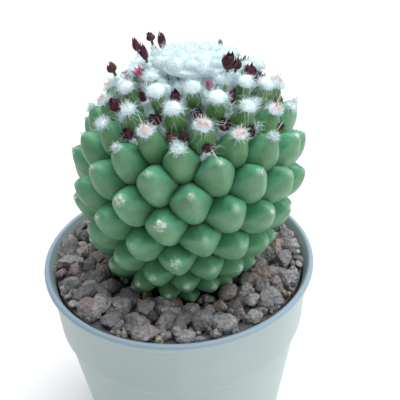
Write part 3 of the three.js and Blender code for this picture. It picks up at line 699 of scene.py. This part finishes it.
def petals(count, start, swell, end, width, twist, head_width, head_height, seed):
    """A layer of petals about the Z axis. The middle line of each is a quadratic curve in radius
    and height from start over swell to end, twisted about the axis, and its section is a thin
    diamond whose width grows from nothing and closes again to a point."""
    chance = np.random.default_rng(seed)
    t = np.linspace(0, 1, PETAL_ROWS)[None, :]
    size = np.array([head_width, head_height])
    tips = np.array(end) * size * chance.uniform(*RAGGED_TIPS, (count, 2))
    first, second = np.array(start) * size, np.array(swell) * size
    s = t[..., None]
    line = (1 - s) ** 2 * first + 2 * s * (1 - s) * second + s**2 * tips[:, None]
    turn = 2 * np.pi * (np.arange(count)[:, None] + chance.uniform(-0.2, 0.2, (count, 1))) / count
    turn = turn + twist * t * chance.uniform(0.5, 1.3, (count, 1))
    half = 0.5 * width * head_width * np.sin(np.pi * t**0.75) * chance.uniform(0.75, 1.2, (count, 1))
    outward = round_axis(1, turn, 0)
    around = round_axis(1, turn + np.pi / 2, 0)
    middle = line[..., :1] * outward + line[..., 1:] * UP
    thick = 0.14 * half[..., None] * outward
    wide = half[..., None] * around
    points = np.stack([middle + thick, middle + wide, middle - thick, middle - wide], axis=2)
    faces = repeated(grid_faces(PETAL_ROWS, PETAL_SIDES), PETAL_ROWS * PETAL_SIDES, count)
    height = np.broadcast_to(t[..., None], (count, PETAL_ROWS, PETAL_SIDES))
    tint = np.broadcast_to(chance.uniform(0, 1, (count, 1, 1)), height.shape)
    return points.reshape(-1, 3), faces, height.ravel(), tint.ravel()


def flower(kind, head_width, head_height, foot, seed):
    """A flower about the Z axis with the middle of its head at the origin: a turned tube from its
    foot up into the head, and the layers of its petals."""
    w, h = head_width, head_height
    tube = np.array([[0, foot], [0.3, foot], [0.28, 0.5 * foot - 0.25 * h], [0.17 * w, -0.5 * h],
                     [0.36 * w, -0.3 * h], [0.38 * w, 0], [0.2 * w, 0.2 * h], [0, 0.24 * h]])
    points, faces = turned(tube, 10)
    parts = [(points, faces)]
    heights = [np.clip((points[:, 2] + 0.5 * h) / h, 0, 1) * 0.6]
    tints = [np.full(len(points), 0.5)]
    for k, layer in enumerate(PETAL_LAYERS[kind]):
        points, faces, height, tint = petals(*layer, w, h, seed + k)
        parts.append((points, faces))
        heights.append(height)
        tints.append(tint)
    return *joined(*parts)[:2], np.concatenate(heights), np.concatenate(tints)


def petal_look(name, stops, roughness, blotches):
    """Dry or fresh petal: a colour ramp from the foot to the tip, darker or lighter from petal to
    petal, with dark blotches and fine creases. A faded flower turns tan."""
    look, tree, shader = new_look(name, Roughness=roughness, Specular_IOR_Level=0.3)
    blotched = patches(tree, ramp_colour(tree, "height", stops), (0.05, 0.02, 0.03, 1), 1600.0, blotches)
    darker = (0.45, 0.42, 0.42, 1)
    shaded = mixed(tree, held_number(tree, "tint"), blotched, darker, blend_type="MULTIPLY")
    coloured = mixed(tree, reading(tree, "faded", 0.0, 1.0), shaded, (0.5, 0.27, 0.17, 1))
    tree.links.new(coloured, shader.inputs["Base Color"])
    unevenness(tree, shader, 2500.0, 0.0004)
    return look


flower_looks = {
    "dried": petal_look("dried_petal", [
        (0.0, (0.42, 0.3, 0.24, 1)), (0.25, (0.3, 0.12, 0.15, 1)), (0.7, (0.23, 0.06, 0.12, 1)),
        (0.99, (0.1, 0.035, 0.06, 1)),
    ], 0.8, 0.5),
    "bud": petal_look("closed_bud", [
        (0.0, (0.34, 0.22, 0.17, 1)), (0.35, (0.2, 0.085, 0.085, 1)), (0.99, (0.075, 0.03, 0.038, 1)),
    ], 0.8, 0.5),
    "fresh": petal_look("fresh_petal", [
        (0.0, (0.55, 0.5, 0.35, 1)), (0.3, (0.85, 0.42, 0.54, 1)), (0.99, (0.75, 0.17, 0.36, 1)),
    ], 0.5, 0.1),
}

# Each flower stands on the axis of its axil, as high as its CAD body does. The wool sections read
# where the heads and the feet are.
FIRST_FLOWER_SEED = 70
head_middles = []
feet = []
foot_aims = []
for k, (bloom_axil, kind, head_width, head_height, aside) in enumerate(BLOOMS):
    node_name = f"bloom_{kind}_{k + 1:02d}"
    axis = unit_length(direction(bloom_axil + np.array([0, STEP_RIGHT, STEP_LEFT, STEP_DOWN])).sum(0))
    beside = unit_length(np.cross(UP, axis))
    mouth = axil(bloom_axil, tip) + aside * beside
    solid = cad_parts[node_name].data.vertices
    heights = (np.array([vertex.co for vertex in solid]) / MM - mouth) @ axis
    middle = heights.max() - 0.5 * head_height
    seed = FIRST_FLOWER_SEED + 3 * k
    points, faces, height, tint = flower(kind, head_width, head_height, heights.min() - middle, seed)
    upright_to_axis = np.stack([beside, np.cross(axis, beside), axis])
    points = mouth + middle * axis + points @ upright_to_axis
    values = {"height": height, "tint": tint, "faded": np.full(len(points), FADED.get(k + 1, 0))}
    shape = make_mesh(f"flower_{kind}_{k + 1:02d}", points, faces, values)
    add_piece(shape, flower_looks[kind], kind, node_name)
    head_middles += [mouth + middle * axis, mouth + (middle + 0.5 * head_height) * axis]
    bottom = mouth + (middle - 0.5 * head_height) * axis
    feet += [bottom - 1.5 * axis, bottom - 3.0 * axis]
    foot_aims += [axis, axis]


# Wool on the tips: every young tubercle ends in an areole packed with short white wool, and the
# ones a little older have a pinkish heart where the flat bristles still lie together.
TUFT_HAIRS = 390
HAIR_THICKNESS = 0.075
HEAD_CLEARANCE = 1.6
# Of a wad's radius: the core's, how far it is lumpy, and where the hairs start and leave the wad.
CORE_SHARE = 0.82
LUMPINESS = 0.17
HAIR_ROOT = 0.74
HAIR_CREST = 0.86


def hairs(starts, ends, thickness, seed, bend):
    """Hairs from starts to ends: each a three-sided prism, closed at its root, up to 0.55 of its
    length, where it bends aside by up to a share of its length, and from there drawn to a point."""
    chance = np.random.default_rng(seed)
    run = ends - starts
    reach = np.linalg.norm(run, axis=1, keepdims=True)
    side = unit_length(np.cross(run, chance.normal(size=run.shape)))
    other = np.cross(run / reach, side)
    middle = starts + 0.55 * run + bend * reach * chance.uniform(-1, 1, (len(run), 1)) * side
    turn = 2 * np.pi * np.arange(3)[:, None] / 3
    spokes = np.cos(turn) * side[:, None] + np.sin(turn) * other[:, None]
    lower = starts[:, None] + 0.5 * thickness * spokes
    upper = middle[:, None] + 0.38 * thickness * spokes
    points = np.concatenate([lower, upper, ends[:, None]], axis=1)
    triangles = np.array([[0, 2, 1], [0, 1, 4], [0, 4, 3], [1, 2, 5], [1, 5, 4], [2, 0, 3], [2, 3, 5],
                          [3, 4, 6], [4, 5, 6], [5, 3, 6]])
    return points.reshape(-1, 3), repeated(triangles, 7, len(starts))


def clear_of_flowers(starts, ends):
    """The hairs that stay clear of the middle and the top of every flower's head."""
    passed = starts[:, None] + (ends - starts)[:, None] * np.array([[0.4], [0.7], [1.0]])
    gaps = np.linalg.norm(passed[:, :, None] - np.array(head_middles), axis=-1).min((1, 2))
    return starts[gaps > HEAD_CLEARANCE], ends[gaps > HEAD_CLEARANCE]


def many_ways(count, each, seed):
    """Unit vectors in every direction, each of `count` rows of them."""
    return unit_length(np.random.default_rng(seed).normal(size=(count, each, 3)))


def wads(middles, aims, radii, flatness, each, hair_reach, seed):
    """Wads of wool: each a lumpy ball squeezed along its aim to a share of its radius, with fine
    hairs matted over it that run partly along it and partly outwards."""
    unit, faces = ball(3)
    chance = np.random.default_rng(seed)
    left, top = sideways(aims)
    frames = np.stack([left, top, aims], 1)
    shape = np.array([1.0, 0.85, flatness])
    offset = 30 * chance.normal(size=(len(radii), 1, 3))
    lumpy = 1 + LUMPINESS * soft_noise(unit + offset, seed + 1, 3.4)[..., None]
    radii = radii[:, None, None]
    core = middles[:, None] + CORE_SHARE * radii * np.einsum("npj,njk->npk", lumpy * unit * shape, frames)
    core_faces = repeated(faces, len(unit), len(radii))
    # No hair grows far back on the side that the wad stands on.
    ways = many_ways(len(radii), each, seed + 2)
    ways[..., 2] = np.abs(ways[..., 2] + 0.25) - 0.25
    matted = ways * chance.uniform(0.25, 0.9, ways[..., :1].shape)
    matted = matted + 0.8 * many_ways(len(radii), each, seed + 3)
    starts = HAIR_ROOT * radii * ways * shape
    ends = HAIR_CREST * radii * ways * shape + chance.uniform(*hair_reach, (len(radii), each, 1)) * matted
    ends[..., 2] = np.maximum(ends[..., 2], -0.9 * radii[..., 0])
    starts = middles[:, None] + np.einsum("nhj,njk->nhk", starts, frames)
    ends = middles[:, None] + np.einsum("nhj,njk->nhk", ends, frames)
    starts, ends = clear_of_flowers(starts.reshape(-1, 3), ends.reshape(-1, 3))
    fuzz = hairs(starts, ends, HAIR_THICKNESS, seed + 4, 0.5)
    return joined((core.reshape(-1, 3), core_faces), fuzz)[:2]


# Painted light: the wool is given a faint bluish glow of its own.
wool_white, tree, shader = new_look(
    "wool_white", Roughness=0.95, Specular_IOR_Level=0.1, Subsurface_Weight=0.1, Subsurface_Scale=0.003,
    Subsurface_Radius=(1.0, 1.0, 1.0), Emission_Color=(0.7, 0.9, 1.0, 1), Emission_Strength=0.06,
)
# The pale blue patches in the wool are painted shade.
cotton_and_blue_shade = patches(tree, (0.89, 0.99, 1.0, 1), (0.74, 0.94, 1.0, 1), 700.0, 0.6)
blushed = mixed(tree, reading(tree, "blush", 0.0, 1.0), cotton_and_blue_shade, (0.78, 0.55, 0.53, 1))
tree.links.new(blushed, shader.inputs["Base Color"])
unevenness(tree, shader, 2600.0, 0.0002)

tufted = np.arange(FIRST_TUBERCLE, -14)
tuft_radii = station(6, tufted) * np.interp(tufted, [-48, -40], [1.2, 0.98])
tuft_middles = tip(tufted) - 0.05 * tuft_radii[:, None] * direction(tufted)
points, faces = wads(tuft_middles, direction(tufted), tuft_radii, 0.56, TUFT_HAIRS, (0.35, 1.3), 41)

# The pinkish heart is the outer middle of the tufts between places -38 and -23 on the spiral.
own = np.linalg.norm(points[:, None] - tuft_middles, axis=-1).argmin(1)
from_middle = (points - tuft_middles[own]) / tuft_radii[own, None]
outward = (from_middle * direction(tufted)[own]).sum(-1)
hearted = smooth_step(tufted, -38, -35) * smooth_step(tufted, -23, -26)
blush = hearted[own] * smooth_step(outward, 0.1, 0.5)
blush = blush * smooth_step(np.linalg.norm(from_middle, axis=-1), 1.2, 0.6)
add_piece(make_mesh("tip_wool", points, faces, {"blush": blush}), wool_white, "wool")


def add_wool(name, shape, *nodes):
    """A piece of the same wool without a pinkish heart."""
    points, faces = shape
    mesh = make_mesh(name, points, faces, {"blush": np.zeros(len(points))})
    add_piece(mesh, wool_white, "wool", *nodes)


# The areoles of the older tubercles keep only a flat pad of grey-white felt on the tip.
padded = np.arange(-17, LAST_TUBERCLE - 3)
chance = np.random.default_rng(45)
pad_radii = np.interp(padded, [-17, -8, 20, 34], [1.0, 0.55, 0.45, 0.35])
pad_radii = pad_radii * chance.uniform(0.55, 1.15, len(padded))
pad_radii = pad_radii + 0.25 * (chance.uniform(0, 1, len(padded)) < 0.22)
pad_middles = tip(padded) - 0.15 * direction(padded)
points, faces = wads(pad_middles, direction(padded), pad_radii, 0.35, 50, (0.1, 0.55), 46)
old_felt, tree, shader = new_look("old_felt", Roughness=0.9, Specular_IOR_Level=0.1)
felt_colour = patches(tree, (0.72, 0.8, 0.75, 1), (0.46, 0.54, 0.45, 1), 900.0, 0.8)
tree.links.new(felt_colour, shader.inputs["Base Color"])
add_piece(make_mesh("tip_felt", points, faces), old_felt, "wool")


# Bristles, axil wool and spines: thin white hairs that fill the axils of the young tubercles like a
# web, wads of wool under them and round the feet of the flowers, and a few short straight spines
# on the tips below them.
WEB_HAIRS = 150
WEB_THICKNESS = 0.06
VEIL_HAIRS = 130
VEIL_THICKNESS = 0.055
PLUG_HAIRS = 60
FOOT_HAIRS = 50
SPINE_FIRST = -36
SPINE_LAST = 8
SPINE_SEED = 5
SPINED_SHARE = 0.7
SPINE_THICKNESS = 0.3

webbed = np.arange(-86, -31)
chance = np.random.default_rng(51)
web_low, web_high = axil(webbed, root), axil(webbed, tip)
web_aim = unit_length(direction(webbed) + direction(webbed + STEP_DOWN))
web_share = chance.uniform(0.45, 0.9, (len(webbed), WEB_HAIRS, 1))
web_starts = web_low[:, None] + web_share * (web_high - web_low)[:, None]
web_starts = web_starts + chance.normal(0, 0.35, web_starts.shape)
web_spread = chance.normal(0, 1.6, web_starts.shape)
web_spread -= (web_spread * web_aim[:, None]).sum(-1, keepdims=True) * web_aim[:, None]
web_lift = chance.uniform(-3.0, -0.3, (len(webbed), WEB_HAIRS, 1))
web_ends = web_high[:, None] + web_spread + web_lift * web_aim[:, None]
web = hairs(*clear_of_flowers(web_starts.reshape(-1, 3), web_ends.reshape(-1, 3)), WEB_THICKNESS, 52, 0.4)

# Others hang from the young tips like a cobweb, down over the green.
veiled = np.arange(FIRST_TUBERCLE, -32)
veil_starts = np.repeat(tip(veiled), VEIL_HAIRS, axis=0)
veil_starts = veil_starts + chance.normal(0, 0.5, veil_starts.shape)
veil_aims = np.repeat(direction(veiled), VEIL_HAIRS, axis=0)
veil_fall = chance.uniform(0.8, 4.2, (len(veil_starts), 1)) * veil_aims
veil_ends = veil_starts - veil_fall + chance.normal(0, 1.5, veil_starts.shape)
veil = hairs(*clear_of_flowers(veil_starts, veil_ends), VEIL_THICKNESS, 54, 0.4)

# Deep in the axils, wool fills the gap between the roots.
plugged = np.arange(-84, -38)
plug_aim = unit_length(direction(plugged) + direction(plugged + STEP_DOWN))
plug_share = np.interp(plugged, [-62, -54, -40], [0.68, 0.58, 0.5])[:, None]
plug_middles = axil(plugged, root) + plug_share * (axil(plugged, tip) - axil(plugged, root))
plug_radii = chance.uniform(0.85, 1.15, len(plugged)) * np.interp(plugged, [-62, -54], [1.5, 1.3])
plugs = wads(plug_middles, plug_aim, plug_radii, 0.9, PLUG_HAIRS, (0.5, 1.6), 55)
add_wool("axil_wool", joined(web, veil, plugs)[:2])

# The same wool clings round the foot of every flower.
foot_radii = np.random.default_rng(91).uniform(0.8, 1.1, len(feet)) + np.tile([0.1, 0.7], len(BLOOMS))
foot_wool = wads(np.array(feet), np.array(foot_aims), foot_radii, 0.9, FOOT_HAIRS, (0.2, 0.7), 92)
add_wool("wool_round_flowers", foot_wool)

# A spine stands on most of the tips from the first place to the last, as the draws say.
spine_draws = iter(seeded_draws(SPINE_SEED, 400))
spine_rows = []
for spine_place in range(SPINE_FIRST, SPINE_LAST + 1):
    if next(spine_draws) < SPINED_SHARE:
        spine_rows.append([spine_place] + [next(spine_draws) for part in range(3)])
spine_rows = np.array(spine_rows)
spine_length = (3 + 3 * spine_rows[:, 1]) * np.interp(spine_rows[:, 0], [-13, -8], [1, 0.4])
spine_base = direction(spine_rows[:, 0])
spine_side = unit_length(np.cross(UP, spine_base))
spine_swing = 1.8 * spine_rows[:, 2:3] - 0.9
spine_rise = 0.2 + 0.9 * spine_rows[:, 3:4]
spine_aim = unit_length(spine_base + spine_swing * spine_side + spine_rise * UP)
spine_foot = tip(spine_rows[:, 0]) - 0.4 * spine_base
points, faces = hairs(spine_foot, spine_foot + spine_length[:, None] * spine_aim, SPINE_THICKNESS, 53, 0.02)

straw, tree, shader = new_look("straw_spine", Roughness=0.5, Subsurface_Weight=0.1, Subsurface_Scale=0.002)
straw_colour = patches(tree, (0.8, 0.84, 0.7, 1), (0.66, 0.64, 0.48, 1), 400.0, 0.6)
tree.links.new(straw_colour, shader.inputs["Base Color"])
add_piece(make_mesh("spines", points, faces), straw, "wool")


# Crown wool: the growing point is hidden under a dense cushion of the same wool, in lumps that
# are the newest areoles pressed together.
WOOL_RADIUS = 8.9
DOME_RADIUS = 9.2
CROWN_LUMPS = 27
CROWN_HAIRS = 420
CROWN_FOOT = POT_HEIGHT + station(2, -82)

crown_number = np.arange(CROWN_LUMPS) + 0.5
crown_ring = (WOOL_RADIUS - 1.2) * np.sqrt(crown_number / CROWN_LUMPS)
crown_turn = np.radians(GOLDEN_ANGLE * (crown_number - 0.5))
crown_level = CROWN_FOOT + 2.2 + 1.4 * np.sqrt(1 - (crown_ring / DOME_RADIUS) ** 2)
crown_middles = leaned(round_axis(crown_ring, crown_turn, crown_level))
crown_aims = unit_length(round_axis(crown_ring, crown_turn, 8))
crown_radii = np.random.default_rng(61).uniform(1.9, 2.5, CROWN_LUMPS)
lumps = wads(crown_middles, crown_aims, crown_radii, 0.8, CROWN_HAIRS, (0.4, 1.6), 62)
cushion_profile = np.array([
    [0, 0], [4.5, 0], [7.4, 0.4], [8.3, 1.2], [8, 1.7], [6.5, 2.2], [4, 2.6], [2, 2.8], [0, 2.9]
])
cushion_points, cushion_faces = turned(cushion_profile, 64)
cushion_points = leaned(cushion_points + (CROWN_FOOT + 0.9) * UP)
crown_shape = joined(lumps, (cushion_points, halved(cushion_faces)))[:2]
add_wool("crown_wool_lumps", crown_shape, "crown_wool")


# Floor, light and camera: a pale floor, one big soft light over the plant, a weaker one from the
# right, and the camera where the photograph was taken, 15 cm from the lip and looking down.
floor_paint, tree, shader = new_look("floor_paint", Roughness=0.8)
floor_colour = patches(tree, (0.9, 0.9, 0.9, 1), (0.88, 0.88, 0.88, 1), 3.0, 0.5)
tree.links.new(floor_colour, shader.inputs["Base Color"])
floor_mesh = bpy.data.meshes.new("floor")
floor_mesh.from_pydata([(-3, -3, 0), (3, -3, 0), (3, 3, 0), (-3, 3, 0)], [], [(0, 1, 2, 3)])
floor_mesh.materials.append(floor_paint)
floor = bpy.data.objects.new("floor", floor_mesh)
bpy.context.scene.collection.objects.link(floor)

world = bpy.data.worlds.new("studio")
world.use_nodes = True
world.node_tree.nodes["Background"].inputs["Color"].default_value = (0.94, 0.97, 1.0, 1)
world.node_tree.nodes["Background"].inputs["Strength"].default_value = 0.42
bpy.context.scene.world = world
bpy.context.scene.view_settings.view_transform = "Standard"


def soft_light(name, position, aim, size, power, colour):
    """A square lamp at a position that faces a point, both in metres."""
    lamp = bpy.data.lights.new(name, "AREA")
    lamp.size, lamp.energy, lamp.color = size, power, colour
    light = bpy.data.objects.new(name, lamp)
    light.location = position
    light.rotation_euler = (Vector(position) - Vector(aim)).to_track_quat("Z", "Y").to_euler()
    bpy.context.scene.collection.objects.link(light)


soft_light("overhead", (0.15, 0.2, 0.9), (0, 0, 0.05), 0.9, 11.0, (1.0, 1.0, 1.0))
soft_light("side", (0.6, -0.3, 0.45), (0, 0, 0.08), 0.35, 1.6, (0.95, 0.99, 1.0))

# The view's lens, distance, tilt and roll, and how far it stands right and up of the lip's middle.
VIEW_LENS = 52.83
VIEW_DISTANCE = 155.0
VIEW_TILT = math.radians(32.2)
VIEW_ROLL = math.radians(-1.7)
VIEW_RIGHT = 5.5
VIEW_UP = 12.9
back = np.array([0, -math.cos(VIEW_TILT), math.sin(VIEW_TILT)])
level = np.array([1.0, 0, 0])
upward = np.array([0, math.sin(VIEW_TILT), math.cos(VIEW_TILT)])
right = math.cos(VIEW_ROLL) * level + math.sin(VIEW_ROLL) * upward
upright = -math.sin(VIEW_ROLL) * level + math.cos(VIEW_ROLL) * upward
spot = np.array([0, 0, POT_HEIGHT]) + VIEW_DISTANCE * back + VIEW_RIGHT * right + VIEW_UP * upright
lens = bpy.data.cameras.new("camera")
lens.sensor_width = 36.0
lens.lens = VIEW_LENS
lens.clip_start = 0.01
camera = bpy.data.objects.new("camera", lens)
camera.matrix_world = Matrix.Translation(spot * MM) @ Matrix(np.stack([right, upright, back], 1)).to_4x4()
bpy.context.scene.collection.objects.link(camera)
bpy.context.scene.camera = camera
